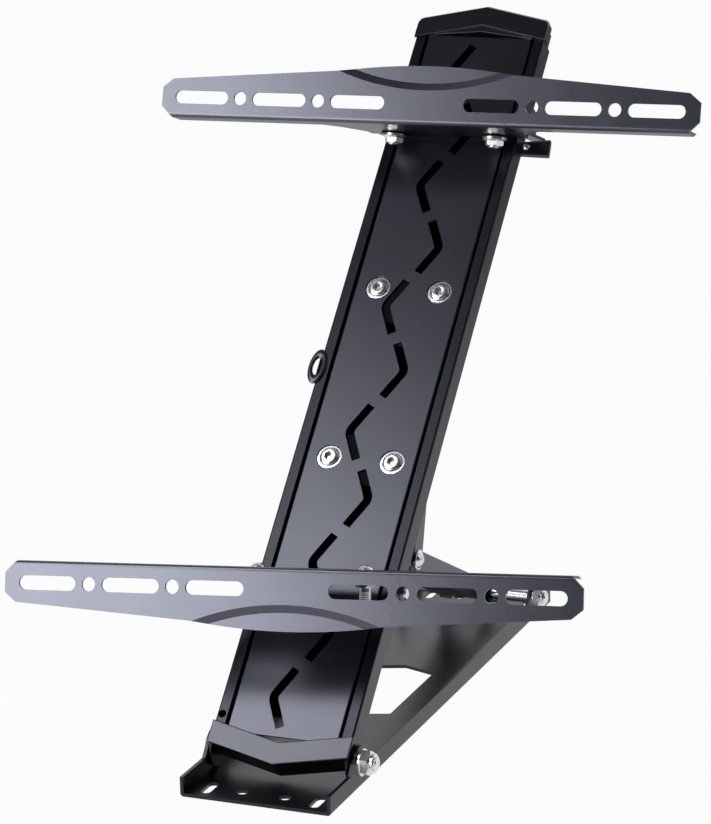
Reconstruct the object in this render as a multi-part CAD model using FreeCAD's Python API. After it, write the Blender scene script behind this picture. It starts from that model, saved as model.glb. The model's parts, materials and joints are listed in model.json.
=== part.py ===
import FreeCAD, Part
import math
import os

V = FreeCAD.Vector
X_AXIS, Y_AXIS, Z_AXIS = V(1, 0, 0), V(0, 1, 0), V(0, 0, 1)

# Base plate: a shallow channel that lies flat, origin under the hinge on its underside
base_wall = 3.0
base_front = 66.0
base_rear = 488.0
flange_height = 17.0
hinge_height = 22.0
hinge_ear_radius = 14.0
axle_ear_radius = 12.0
corner_radius = 7.0
cutout_width = 62.0
cutout_near = 147.0
cutout_length = 130.0
cutout_point = 11.0
slot_spacing = 96.0
slot_width = 8.5
slot_length = 24.0
hole_spacing = 38.0
hole_diameter = 10.0
row_inset = 18.0

# Spine: two folded rails with an inset plate, leaning back at this angle above the base
spine_angle = 44.9
spine_width = 124.0
spine_depth = 36.0
rail_depth = 20.0
spine_wall = 2.0
lip_width = 9.5
rail_top = 716.0
plate_bottom = 6.0
plate_top = 715.0
plate_wall = 2.0
plate_inset = 0.5
plate_gap = 2.5
plate_side = 11.0
rail_hole_diameter = 7.0
rail_hole_place = 20.0

# Zig-zag of chevron slots in the face plate
chevron_pitch = 63.7
chevron_count = 11
chevron_first = 705.0
chevron_span = 54.0
chevron_tip = 17.5
chevron_end = 3.8
chevron_width = 8.0
chevron_bend = 9.0

# Thin cover behind the rails, open round the upper link
cover_wall = 1.5
cover_gap = 6.0
cover_low = 30.0
cover_high = 704.0
window_half = 36.0
window_low = 398.0
window_high = 450.0

# Moulded end caps
cap_overhang = 1.0
cap_proud = 2.5
cap_band = 20.0
top_cap_point = 750.0
cap_slope = 13.5
bottom_cap_point = 20.0
bottom_cap_depth = 23.5
skirt_gap = 0.4
spigot_length = 10.0

# Hinge and rear axle
axle_radius = 6.0
running_gap = 0.05
side_gap = 1.6
sleeve_radius = 8.5
face_clearance = 0.05
hinge_washer = 2.5
hinge_washer_radius = 11.5
hinge_nut = 10.0
hinge_nut_flats = 19.0
axle_end = 2.5
axle_head = 3.5
axle_head_radius = 8.5
axle_place = 440.0
rear_washer = 2.0
rear_washer_radius = 10.0
rear_nut = 8.0
collar_width = 6.0
collar_radius = 9.5

# Knee linkage behind the spine
link_wall = 3.0
link_half_width = 10.0
upper_link_half = 24.0
link_side_gap = 2.0
knee_back = 250.0
knee_height = 92.0
knee_slot_short = 14.8
knee_slot_long = 6.6
knee_slot_play = 1.1
link_pin_place = 429.0
link_pin_depth = -8.0
link_pin_radius = 5.0
web_near = 45.0
web_far = 26.0
knee_washer = 1.2
knee_washer_radius = 9.0
knee_head = 4.0
knee_head_radius = 7.5

# Cross brackets behind the plate and their screws
bracket_wall = 3.0
bracket_length = 48.0
link_bracket_place = 432.0
brace_place = 269.7
bracket_side = 4.2
link_screw_place = 441.7
screw_spacing = 58.0
screw_radius = 4.0
screw_head_radius = 9.8
screw_head_height = 5.2
screw_socket = 6.0
screw_hole_diameter = 23.0
screw_nut = 6.5
screw_nut_flats = 13.0
screw_end = 1.5
ear_wall = 3.0
ear_radius = 9.0
pin_head = 3.0
pin_head_radius = 8.0

# Tilting bar brackets and their pivots in the rails
tilt_angle = 27.0
upper_bar_skew = 1.3
lower_bar_skew = 4.6
pivot_depth = 6.7
upper_pivot_place = 630.4
lower_pivot_place = 147.9
face_reach = 105.3
tilt_pin_radius = 5.0
tilt_pin_head = 3.5
tilt_pin_head_radius = 8.0
tilt_nut = 5.0
tilt_wall = 3.0
tilt_half_width = 77.0
tilt_side_gap = 3.0
tilt_front = 52.0
tilt_notch = 25.0
tilt_back = 21.0
tilt_ear_radius = 12.0
tilt_corner = 10.0

# TV bars: upper and lower are mirrored copies
bar_wall = 2.5
bar_half_length = 251.0
bar_foot = 18.5
bar_end_height = 16.5
bar_shoulder_height = 27.5
bar_peak_height = 34.0
shoulder_place = 83.0
bar_corner = 10.0
bend_radius = 4.0
flange_ends = 22.0
flange_middle = 76.0
flange_middle_half = 74.0
flange_taper = 14.0
hole_pitch = 37.5
first_hole = 62.5
bar_slot_length = 51.5
bar_hole_diameter = 12.0
hollow_depth = 3.0
hollow_half = 82.0
hollow_run = 14.0
hollow_dip = 12.0
hollow_slope = 6.5

# Bar bolts
bolt_spacing = 95.0
bolt_radius = 5.0
bolt_depth = 62.0
bolt_head_radius = 9.0
bolt_head_height = 5.0
bolt_washer = 1.5
bolt_washer_radius = 12.0
flange_nut_height = 8.0
flange_nut_flats = 15.0
flange_nut_rim = 11.0
flange_nut_rim_height = 2.0
bolt_end = 1.5
dome_radius = 6.5
dome_height = 4.0
inner_bolt_end = 10.0

# Small fittings on the rails
eye_place = 357.0
eye_length = 34.0
eye_reach = 11.0
eye_wall = 2.0
eye_foot = 12.0
eye_hole = 8.0
box_width = 30.0
box_length = 15.0
box_slope = 3.0
box_place = 596.0
box_back = 1.0
box_front = 16.0
box_corner = 2.0
box_screw_radius = 3.6
box_screw_height = 2.2
box_screw_shank = 1.75

# Sizes that follow from those above
spine_half = spine_width / 2
rail_inner = spine_half - spine_wall
half_depth = spine_depth / 2
rail_back = half_depth - rail_depth
lip_inner = spine_half - lip_width
base_inner = spine_half + side_gap
base_outer = base_inner + base_wall
plate_face = half_depth - plate_inset
plate_back = plate_face - plate_wall
plate_half = lip_inner - plate_gap
bracket_back = plate_back - bracket_wall
cap_half = spine_half + cap_overhang
lower_link_half = upper_link_half - link_wall - link_side_gap
tilt_ear_inner = spine_half + tilt_side_gap
pivot_head_seat = tilt_ear_inner + tilt_wall + running_gap * 2
plate_level = bar_foot - bar_wall
web_floor = base_wall - hinge_height

spine_frame = FreeCAD.Placement(V(0, 0, hinge_height), FreeCAD.Rotation(X_AXIS, spine_angle))
base_frame = FreeCAD.Placement(V(0, 0, hinge_height), FreeCAD.Rotation())


def box(x0, x1, y0, y1, z0, z1):
    return Part.makeBox(x1 - x0, y1 - y0, z1 - z0, V(x0, y0, z0))


def rod_x(radius, x0, x1, y, z):
    return Part.makeCylinder(radius, x1 - x0, V(x0, y, z), X_AXIS)


def rod_y(radius, y0, y1, x, z):
    return Part.makeCylinder(radius, y1 - y0, V(x, y0, z), Y_AXIS)


def rod_z(radius, z0, z1, x, y):
    return Part.makeCylinder(radius, z1 - z0, V(x, y, z0), Z_AXIS)


def prism(points, direction):
    wire = Part.makePolygon([V(*p) for p in points] + [V(*points[0])])
    return Part.Face(wire).extrude(direction)


def ring_x(inner, outer, x0, x1, y, z):
    return rod_x(outer, x0, x1, y, z).cut(rod_x(inner, x0 - 1, x1 + 1, y, z))


def hex_nut(flats, height, bore):
    """Hex nut from z = 0 upwards, its outer corners chamfered."""
    corner = flats / math.sqrt(3)
    points = []
    for step in range(6):
        turn = math.radians(60 * step)
        points.append((corner * math.cos(turn), corner * math.sin(turn), 0))
    body = prism(points, V(0, 0, height))
    dome = Part.makeCone(flats / 2 + height * 2, flats / 2, height * 2, V(0, 0, -height), Z_AXIS)
    nut = body.common(dome)
    return nut.cut(rod_z(bore, -1, height + 1, 0, 0))


def lock_nut(flats, height, bore):
    """Hex lock nut: a plain hexagon with a round collar over its insert."""
    collar = height * 0.25
    nut = hex_nut(flats, height - collar, bore)
    rim = rod_z(flats * 0.44, height - collar, height, 0, 0)
    rim = rim.cut(rod_z(bore, 0, height + 1, 0, 0))
    return nut.fuse(rim).removeSplitter()


def turned(shape, direction):
    """A shape made along +Z, turned to point along a direction."""
    copy = shape.copy()
    copy.Placement = FreeCAD.Placement(V(0, 0, 0), FreeCAD.Rotation(Z_AXIS, direction))
    return copy


def moved(shape, x, y, z):
    copy = shape.copy()
    copy.translate(V(x, y, z))
    return copy


def both_sides(make):
    """The same piece on the right and on the left."""
    right = make()
    left = right.mirror(V(0, 0, 0), X_AXIS)
    return [right, left]


def in_frame(shapes, frame):
    placed = []
    for shape in shapes:
        copy = shape.copy()
        copy.Placement = frame.multiply(copy.Placement)
        placed.append(copy)
    return placed


def long_hole(x, y, width, length, z0, z1, along_x):
    """A slot centred at x, y that runs along x or along y."""
    half = (length - width) / 2
    if along_x:
        bar = box(x - half, x + half, y - width / 2, y + width / 2, z0, z1)
        ends = [(x - half, y), (x + half, y)]
    else:
        bar = box(x - width / 2, x + width / 2, y - half, y + half, z0, z1)
        ends = [(x, y - half), (x, y + half)]
    for end_x, end_y in ends:
        bar = bar.fuse(rod_z(width / 2, z0, z1, end_x, end_y))
    return bar.removeSplitter()


def base_flange():
    """Right flange in the hinge frame, with an ear at the hinge and one at the rear axle."""
    top = flange_height - hinge_height
    bottom = -hinge_height
    wall = box(base_inner, base_outer, -base_front, base_rear, bottom, top)
    for place, radius in ((0, hinge_ear_radius), (axle_place, axle_ear_radius)):
        foot = radius * 1.6
        cheek = prism([(base_inner, place - foot, top - 1), (base_inner, place + foot, top - 1),
                       (base_inner, place + radius * 0.9, radius * 0.42),
                       (base_inner, place - radius * 0.9, radius * 0.42)], V(base_wall, 0, 0))
        ear = cheek.fuse(rod_x(radius, base_inner, base_outer, place, 0))
        wall = wall.fuse(ear)
    wall = wall.removeSplitter()
    for place in (0, axle_place):
        wall = wall.cut(rod_x(axle_radius, base_inner - 1, base_outer + 1, place, 0))
    return wall


def base_cutout():
    half = cutout_width / 2
    far = cutout_near + cutout_length
    low = -hinge_height - 1
    return prism([(0, cutout_near, low), (half, cutout_near + cutout_point, low),
                  (half, far - cutout_point, low), (0, far, low),
                  (-half, far - cutout_point, low), (-half, cutout_near + cutout_point, low)],
                 V(0, 0, base_wall + 2))


def base_plate():
    bottom = -hinge_height
    web = box(-base_outer, base_outer, -base_front, base_rear, bottom, bottom + base_wall)
    plate = web
    for side in both_sides(base_flange):
        plate = plate.fuse(side)
    plate = plate.removeSplitter()
    edges = []
    for edge in plate.Edges:
        centre = edge.BoundBox.Center
        long_edge = edge.BoundBox.YLength > base_rear
        outer = abs(abs(centre.x) - base_outer) < 0.01 and abs(centre.z - bottom) < 0.01
        if long_edge and outer:
            edges.append(edge)
    plate = plate.makeFillet(base_wall, edges)
    plate = plate.cut(base_cutout())
    for y in (-base_front + row_inset, base_rear - row_inset):
        for side in (-1, 1):
            plate = plate.cut(long_hole(side * slot_spacing / 2, y, slot_width, slot_length,
                                        bottom - 1, bottom + base_wall + 1, False))
            plate = plate.cut(rod_z(hole_diameter / 2, bottom - 1, bottom + base_wall + 1,
                                    side * hole_spacing / 2, y))
    return plate


def cross_rod(outer_end):
    rod = rod_x(axle_radius, -outer_end, outer_end, 0, 0)
    return rod.makeChamfer(1.0, [e for e in rod.Edges if e.BoundBox.XLength < 0.01])


def hinge_axle():
    """Axle with a low head outside the left flange, its right end for the washer and nut."""
    left = -base_outer
    rod = rod_x(axle_radius, left, hinge_end(), 0, 0)
    rod = rod.makeChamfer(1.0, [e for e in rod.Edges if e.BoundBox.XMin > 0 and e.BoundBox.XLength < 0.01])
    head = rod_x(axle_head_radius, left - axle_head, left, 0, 0)
    rim = [e for e in head.Edges if e.BoundBox.XMax < left - axle_head + 0.01]
    return rod.fuse(head.makeFillet(axle_head * 0.4, rim)).removeSplitter()


def hinge_end():
    return base_outer + hinge_washer + hinge_nut + axle_end


def rear_end():
    return base_outer + rear_washer + rear_nut + axle_end


def side_nut(flats, height, seat, y):
    nut = turned(lock_nut(flats, height, axle_radius), X_AXIS)
    return moved(nut, seat, y, 0)


def rail(side):
    """C-section rail: flank, front lip and back lip, with a round ear about the hinge."""
    flank = box(rail_inner, spine_half, 0, rail_top, rail_back, half_depth)
    end = rod_x(half_depth, rail_inner, spine_half, 0, 0)
    body = flank.fuse(end)
    lip_low = half_depth * 0.5
    for z0 in (half_depth - spine_wall, rail_back):
        body = body.fuse(box(lip_inner, spine_half, lip_low, rail_top, z0, z0 + spine_wall))
    body = body.removeSplitter()
    edges = []
    for edge in body.Edges:
        centre = edge.BoundBox.Center
        corner = abs(centre.x - spine_half) < 0.01 and abs(centre.z - half_depth) < 0.01
        if edge.BoundBox.YLength > rail_top / 2 and corner:
            edges.append(edge)
    body = body.makeFillet(spine_wall * 0.9, edges)
    body = body.cut(rod_x(axle_radius + running_gap, rail_inner - 1, spine_half + 1, 0, 0))
    if side < 0:
        lip_middle = (lip_inner + spine_half) / 2
        body = body.cut(rod_z(rail_hole_diameter / 2, half_depth - spine_wall - 1, half_depth + 1,
                              lip_middle, rail_hole_place))
        body = body.mirror(V(0, 0, 0), X_AXIS)
    for place, skew in ((upper_pivot_place, upper_bar_skew), (lower_pivot_place, lower_bar_skew)):
        reach = spine_half * 1.2
        hole = rod_x(tilt_pin_radius, reach * (side - 1) / 2, reach * (side + 1) / 2, 0, 0)
        body = body.cut(in_frame([hole], pivot_frame(place, skew))[0])
    return body


def chevron(start, side):
    """One slot with a rounded bend that runs down the plate from start, its tip to one side."""
    half = chevron_width / 2
    low = plate_back - 1
    height = plate_wall + 2
    middle = start - chevron_span / 2
    turn = math.atan2(chevron_tip - chevron_end, chevron_span / 2)
    centre = side * (chevron_tip - chevron_bend / math.cos(turn))
    far = chevron_bend * 2
    wedge = prism([(centre, middle, low),
                   (centre + side * far * math.cos(turn), middle - far * math.sin(turn), low),
                   (centre + side * far * math.cos(turn), middle + far * math.sin(turn), low)],
                  V(0, 0, height))
    ring = rod_z(chevron_bend + half, low, low + height, centre, middle)
    ring = ring.cut(rod_z(chevron_bend - half, low - 1, low + height + 1, centre, middle))
    slot = ring.common(wedge)
    for way in (-1, 1):
        bend = V(centre + side * chevron_bend * math.cos(turn),
                 middle + way * chevron_bend * math.sin(turn), 0)
        end = V(side * chevron_end, middle + way * chevron_span / 2, 0)
        run = end.sub(bend)
        across = V(-run.y, run.x, 0)
        across.normalize()
        across.multiply(half)
        corners = [bend.add(across), end.add(across), end.sub(across), bend.sub(across)]
        slot = slot.fuse(prism([(c.x, c.y, low) for c in corners], V(0, 0, height)))
    return slot.removeSplitter()


def face_plate():
    """Shallow tray between the rails, its long edges folded back, cut with the zig-zag."""
    panel = box(-plate_half, plate_half, plate_bottom, plate_top, plate_back, plate_face)
    for side in (-1, 1):
        x0 = side * plate_half if side < 0 else plate_half - plate_wall
        panel = panel.fuse(box(x0, x0 + plate_wall, plate_bottom, plate_top,
                               plate_face - plate_side, plate_face))
    panel = panel.removeSplitter()
    edges = []
    for edge in panel.Edges:
        centre = edge.BoundBox.Center
        corner = abs(abs(centre.x) - plate_half) < 0.01 and abs(centre.z - plate_face) < 0.01
        if edge.BoundBox.YLength > plate_top / 2 and corner:
            edges.append(edge)
    panel = panel.makeFillet(plate_wall * 0.7, edges)
    for index in range(chevron_count):
        side = -1 if index % 2 == 0 else 1
        panel = panel.cut(chevron(chevron_first - index * chevron_pitch, side))
    for place in (link_screw_place, brace_place):
        for side in (-1, 1):
            panel = panel.cut(rod_z(screw_hole_diameter / 2, plate_back - 1, plate_face + 1,
                                    side * screw_spacing / 2, place))
    return panel


def back_cover():
    """Thin cover on the inner side of the back lips, with a window for the upper link."""
    low = rail_back + spine_wall
    half = rail_inner - cover_gap
    cover = box(-half, half, cover_low, cover_high, low, low + cover_wall)
    window = box(-window_half, window_half, window_low, window_high, low - 1, low + cover_wall + 1)
    return cover.cut(window)


def chevron_band(point, slope, band, z0, z1, upwards):
    """V-shaped band across the spine; its point is at the middle, on the outer side."""
    sign = 1 if upwards else -1
    rim = point - slope
    inner = point - band
    inner_rim = inner - slope
    shape = [(-cap_half, sign * rim), (0, sign * point), (cap_half, sign * rim),
             (cap_half, sign * inner_rim), (0, sign * inner), (-cap_half, sign * inner_rim)]
    return prism([(x, y, z0) for x, y in shape], V(0, 0, z1 - z0))


def top_end_cap():
    body = chevron_band(top_cap_point, cap_slope, cap_band, rail_back, half_depth + cap_proud, True)
    room = box(-cap_half - 1, cap_half + 1, 0, rail_top, rail_back - 1, half_depth)
    body = body.cut(room)
    skin = half_depth + cap_proud
    edges = []
    for edge in body.Edges:
        centre = edge.BoundBox.Center
        front = abs(centre.z - skin) < 0.01 and edge.BoundBox.ZLength < 0.01
        if front and centre.y > rail_top + cap_band * 0.6:
            edges.append(edge)
    body = body.makeFillet(1.2, edges)
    low = rail_top - spigot_length
    inner_half = plate_half - plate_wall - 1
    inner = top_cap_point - cap_band
    drop = cap_slope * inner_half / cap_half
    back = rail_back + spine_wall + 1
    spigot = prism([(-inner_half, low, back), (inner_half, low, back),
                    (inner_half, inner - drop + 1, back), (0, inner + 1, back),
                    (-inner_half, inner - drop + 1, back)], V(0, 0, plate_back - 0.3 - back))
    return body.fuse(spigot).removeSplitter()


def bottom_end_cap():
    skin = half_depth + cap_proud
    body = chevron_band(bottom_cap_point, cap_slope, cap_band, skin - bottom_cap_depth, skin, False)
    clear = half_depth + skirt_gap
    inner = rail_inner - skirt_gap
    for x0, x1 in ((-cap_half - 1, -inner), (inner, cap_half + 1)):
        body = body.cut(rod_x(clear, x0, x1, 0, 0))
    above = box(-cap_half - 1, cap_half + 1, 0, cap_band * 2, -half_depth, half_depth)
    body = body.cut(above).cut(rod_x(sleeve_radius, -cap_half, cap_half, 0, 0))
    edges = []
    for edge in body.Edges:
        centre = edge.BoundBox.Center
        front = abs(centre.z - skin) < 0.01 and edge.BoundBox.ZLength < 0.01
        if front:
            edges.append(edge)
    return body.makeFillet(1.0, edges)


def bracket_blank(place):
    """Cross strip that dips under the plate's folded edges and reaches both rails."""
    y0 = place - bracket_length / 2
    y1 = place + bracket_length / 2
    inner = plate_half - plate_wall - 0.3
    dip = plate_face - plate_side - 0.3
    profile = [(-inner, plate_back), (inner, plate_back), (inner, dip), (rail_inner, dip),
               (rail_inner, dip - bracket_side), (rail_inner - bracket_wall, dip - bracket_side),
               (rail_inner - bracket_wall, dip - bracket_wall),
               (inner - bracket_wall, dip - bracket_wall), (inner - bracket_wall, bracket_back),
               (-inner + bracket_wall, bracket_back), (-inner + bracket_wall, dip - bracket_wall),
               (-rail_inner + bracket_wall, dip - bracket_wall),
               (-rail_inner + bracket_wall, dip - bracket_side), (-rail_inner, dip - bracket_side),
               (-rail_inner, dip), (-inner, dip)]
    return prism([(x, y0, z) for x, z in profile], V(0, y1 - y0, 0))


def screw_holes(body, place):
    for side in (-1, 1):
        body = body.cut(rod_z(screw_radius, bracket_back - 1, plate_back + 1,
                              side * screw_spacing / 2, place))
    return body


def link_bracket():
    body = bracket_blank(link_bracket_place)
    ear_x = upper_link_half + link_side_gap
    for side in (-1, 1):
        x0 = ear_x if side > 0 else -ear_x - ear_wall
        root = box(x0, x0 + ear_wall, link_pin_place - ear_radius * 1.4,
                   link_pin_place + ear_radius * 0.2, link_pin_depth, bracket_back)
        ear = root.fuse(rod_x(ear_radius, x0, x0 + ear_wall, link_pin_place, link_pin_depth))
        body = body.fuse(ear)
    body = body.removeSplitter()
    body = body.cut(rod_x(link_pin_radius, -rail_inner, rail_inner, link_pin_place, link_pin_depth))
    return screw_holes(body, link_screw_place)


def plate_brace():
    return screw_holes(bracket_blank(brace_place), brace_place)


def button_screw():
    """Button-head socket screw along -Z, its seat at z = 0."""
    radius = (screw_head_radius ** 2 + screw_head_height ** 2) / (2 * screw_head_height)
    ball = Part.makeSphere(radius, V(0, 0, screw_head_height - radius))
    head = ball.common(rod_z(screw_head_radius, 0, screw_head_height, 0, 0))
    socket = hexagon_hole(screw_socket, screw_head_height * 0.6)
    head = head.cut(moved(socket, 0, 0, screw_head_height * 0.4))
    shank = rod_z(screw_radius, -(bracket_wall + screw_nut + screw_end), 0.5, 0, 0)
    return head.fuse(shank).removeSplitter()


def hexagon_hole(flats, height):
    corner = flats / math.sqrt(3)
    points = []
    for step in range(6):
        turn = math.radians(60 * step)
        points.append((corner * math.cos(turn), corner * math.sin(turn), 0))
    return prism(points, V(0, 0, height + 1))


def screw_places():
    places = []
    for place in (link_screw_place, brace_place):
        for side in (-1, 1):
            places.append((side * screw_spacing / 2, place))
    return places


def face_screws():
    return [moved(button_screw(), x, y, plate_back) for x, y in screw_places()]


def face_nuts():
    nut = turned(hex_nut(screw_nut_flats, screw_nut, screw_radius), V(0, 0, -1))
    return [moved(nut, x, y, bracket_back) for x, y in screw_places()]


def link_pin():
    end = upper_link_half + link_side_gap + ear_wall
    rod = rod_x(link_pin_radius, -end, end, link_pin_place, link_pin_depth)
    for x0 in (-end - pin_head, end):
        rod = rod.fuse(rod_x(pin_head_radius, x0, x0 + pin_head, link_pin_place, link_pin_depth))
    return rod.removeSplitter()


def eye_tab():
    """Small bent tab on the left rail with a cable eye."""
    y0 = eye_place - eye_length / 2
    y1 = eye_place + eye_length / 2
    left = -spine_half
    blade = prism([(left, y0, 0), (left - eye_reach, y0 + eye_length * 0.3, 0),
                   (left - eye_reach, y1 - eye_length * 0.3, 0), (left, y1, 0)], V(0, 0, eye_wall))
    foot = box(left - eye_wall, left, y0, y1, -eye_foot, eye_wall)
    body = blade.fuse(foot).removeSplitter()
    slot = long_hole(left - eye_reach * 0.55, eye_place, eye_hole * 0.62, eye_hole * 1.9,
                     -1, eye_wall + 1, False)
    return moved(body.cut(slot), 0, 0, half_depth - eye_wall * 2.5)


def tilt_pin():
    pin = rod_x(tilt_pin_radius, rail_inner - tilt_nut, pivot_head_seat, 0, 0)
    head = rod_x(tilt_pin_head_radius, pivot_head_seat, pivot_head_seat + tilt_pin_head, 0, 0)
    inner = rod_x(tilt_pin_head_radius * 0.9, rail_inner - tilt_nut, rail_inner, 0, 0)
    return pin.fuse(head).fuse(inner).removeSplitter()


def pivot_frame(place, skew):
    """Frame of a tilt pivot in the spine: its X is the pivot's axis, Z the plate's normal."""
    return FreeCAD.Placement(V(0, place, pivot_depth), FreeCAD.Rotation(Z_AXIS, skew))


def tilt_pins(place, skew):
    """Headed pins in the rails, each seated square on its rail's faces."""
    pins = in_frame(both_sides(tilt_pin), pivot_frame(place, skew))
    return [pins[0].cut(rail(1)), pins[1].cut(rail(-1))]


def link_frame(y0, z0, y1, z1):
    """Frame at the first pivot with its Y along the link towards the second."""
    angle = math.degrees(math.atan2(z1 - z0, y1 - y0))
    return FreeCAD.Placement(V(0, y0, z0), FreeCAD.Rotation(X_AXIS, angle))


def link(half, length, first_hole_radius, second_hole_radius, web_side):
    """Channel link along +Y: two arms joined by a web on one side."""
    width = link_half_width
    arm = box(half - link_wall, half, 0, length, -width, width)
    for y in (0, length):
        arm = arm.fuse(rod_x(width, half - link_wall, half, y, 0))
    arm = arm.removeSplitter()
    arm = arm.cut(rod_x(first_hole_radius, half - link_wall - 1, half + 1, 0, 0))
    arm = arm.cut(rod_x(second_hole_radius, half - link_wall - 1, half + 1, length, 0))
    z0 = width - link_wall if web_side > 0 else -width
    body = arm.fuse(arm.mirror(V(0, 0, 0), X_AXIS))
    body = body.fuse(box(-half, half, web_far, length - web_near, z0, z0 + link_wall))
    return body.removeSplitter()


def spine_point(place, depth):
    """A point of the spine's own plane in the hinge frame."""
    turn = math.radians(spine_angle)
    return (place * math.cos(turn) - depth * math.sin(turn),
            place * math.sin(turn) + depth * math.cos(turn))


def upper_link():
    y0, z0 = spine_point(link_pin_place, link_pin_depth)
    length = math.hypot(knee_back - y0, knee_height - z0)
    shape = link(upper_link_half, length, link_pin_radius + running_gap, axle_radius, -1)
    return in_frame([shape], base_frame.multiply(link_frame(y0, z0, knee_back, knee_height)))


def knee_tail(length):
    """Lengthened ends of the lower link's arms beyond the knee."""
    inner = lower_link_half - link_wall
    width = link_half_width
    end = length + knee_slot_long
    arm = box(inner, lower_link_half, length - width, end, -width, width)
    arm = arm.fuse(rod_x(width, inner, lower_link_half, end, 0))
    return arm.fuse(arm.mirror(V(0, 0, 0), X_AXIS))


def knee_slot(length):
    """Lengthwise slot for the knee pins in both arms of the lower link."""
    half = axle_radius + knee_slot_play
    reach = lower_link_half + 1
    start = length - knee_slot_short
    end = length + knee_slot_long
    slot = box(-reach, reach, start, end, -half, half)
    for place in (start, end):
        slot = slot.fuse(rod_x(half, -reach, reach, place, 0))
    return slot


def lower_link():
    length = math.hypot(knee_back - axle_place, knee_height)
    shape = link(lower_link_half, length, axle_radius + running_gap, axle_radius, 1)
    shape = shape.fuse(knee_tail(length)).cut(knee_slot(length)).removeSplitter()
    return in_frame([shape], base_frame.multiply(link_frame(axle_place, 0, knee_back, knee_height)))


def knee_pin():
    """Short pin with a washer and a low head on one outer side of the knee."""
    outer = upper_link_half
    shank = rod_x(axle_radius, outer - link_wall, outer + knee_washer, 0, 0)
    seat = outer + knee_washer
    radius = (knee_head_radius ** 2 + knee_head ** 2) / (2 * knee_head)
    ball = Part.makeSphere(radius, V(seat + knee_head - radius, 0, 0))
    head = ball.common(rod_x(knee_head_radius, seat, seat + knee_head, 0, 0))
    pin = shank.fuse(head).removeSplitter()
    return moved(pin, 0, knee_back, knee_height)


def knee_disc():
    disc = ring_x(axle_radius, knee_washer_radius, upper_link_half, upper_link_half + knee_washer, 0, 0)
    return moved(disc, 0, knee_back, knee_height)


def bar_outline(z0, z1):
    """Front outline of a bar: straight foot, corners cut, back edge arched in the middle."""
    half = bar_half_length
    cut = bar_corner
    points = [(-half + cut, -bar_foot), (half - cut, -bar_foot), (half, -bar_foot + cut),
              (half, bar_end_height - cut * 0.8), (half - cut, bar_end_height),
              (shoulder_place, bar_shoulder_height)]
    edges = []
    for a, b in zip(points, points[1:]):
        edges.append(Part.makeLine(V(a[0], a[1], z0), V(b[0], b[1], z0)))
    edges.append(arch(shoulder_place, z0))
    mirrored = [(-x, y) for x, y in reversed(points)]
    for a, b in zip(mirrored, mirrored[1:5]):
        edges.append(Part.makeLine(V(a[0], a[1], z0), V(b[0], b[1], z0)))
    return Part.Face(Part.Wire(edges)).extrude(V(0, 0, z1 - z0))


def arch_height(x):
    """Height of the arched edge at a distance from the middle."""
    rise = bar_peak_height - bar_shoulder_height
    radius = (shoulder_place ** 2 + rise ** 2) / (2 * rise)
    return bar_peak_height - radius + math.sqrt(radius ** 2 - x ** 2)


def arch(half, z):
    start = V(half, arch_height(half), z)
    middle = V(0, bar_peak_height, z)
    end = V(-half, arch_height(half), z)
    return Part.Arc(start, middle, end).toShape()


def hollow(z0):
    """Lens-shaped set-back along the arched edge, its lower side a slope; open at the top."""
    wires = []
    beyond = bar_peak_height * 2
    for level in (0.5, -hollow_depth):
        share = -level / hollow_depth
        half = hollow_half - hollow_run * share
        dip = hollow_dip + hollow_slope * share
        side = arch_height(half)
        z = z0 + level
        low = Part.Arc(V(-half, side, z), V(0, dip, z), V(half, side, z)).toShape()
        lines = [Part.makeLine(V(half, side, z), V(half, beyond, z)),
                 Part.makeLine(V(half, beyond, z), V(-half, beyond, z)),
                 Part.makeLine(V(-half, beyond, z), V(-half, side, z))]
        wires.append(Part.Wire([low] + lines))
    return Part.makeLoft(wires, True, True)


def bar_profile():
    """L-section swept along the bar, with a rounded fold at the foot."""
    top = bar_peak_height + 1
    foot = -bar_foot
    wall = bar_wall
    outer = bend_radius
    inner = bend_radius - wall
    face = box(-bar_half_length, bar_half_length, foot + outer, top, -wall, 0)
    flange = box(-bar_half_length, bar_half_length, foot, foot + wall, -flange_middle, -outer)
    fold = rod_x(outer, -bar_half_length, bar_half_length, foot + outer, -outer)
    fold = fold.cut(rod_x(inner, -bar_half_length - 1, bar_half_length + 1, foot + outer, -outer))
    fold = fold.common(box(-bar_half_length, bar_half_length, foot, foot + outer, -outer, 0))
    return face.fuse(flange).fuse(fold).removeSplitter()


def flange_trim(side):
    """What is cut away from the flange beyond its deep middle part."""
    low = -flange_middle - 1
    points = [(flange_middle_half, low), (flange_middle_half, -flange_middle + flange_taper),
              (flange_middle_half + flange_taper, -flange_ends - flange_taper),
              (flange_middle_half + flange_taper * 2, -flange_ends),
              (bar_half_length + 1, -flange_ends), (bar_half_length + 1, low)]
    return prism([(side * x, -bar_foot - 1, z) for x, z in points], V(0, bar_wall + 2, 0))


def bar_openings():
    cuts = []
    for side in (-1, 1):
        for index in range(3):
            x = side * (first_hole + index * hole_pitch * 2)
            cuts.append(long_hole(x, 0, bar_hole_diameter, bar_slot_length, -bar_wall - 1, 1, True))
        for index in range(2):
            x = side * (first_hole + (index * 2 + 1) * hole_pitch)
            cuts.append(rod_z(bar_hole_diameter / 2, -bar_wall - 1, 1, x, 0))
    return cuts


def tv_bar():
    body = bar_profile().fuse(hollow(-bar_wall)).cut(hollow(0))
    body = body.common(bar_outline(-flange_middle - 1, 1))
    for side in (-1, 1):
        body = body.cut(flange_trim(side))
    for cut in bar_openings():
        body = body.cut(cut)
    for x in (-bolt_spacing / 2, bolt_spacing / 2):
        body = body.cut(rod_y(bolt_radius, -bar_foot - 1, -plate_level + 1, x, -bolt_depth))
    return body.removeSplitter()


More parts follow.
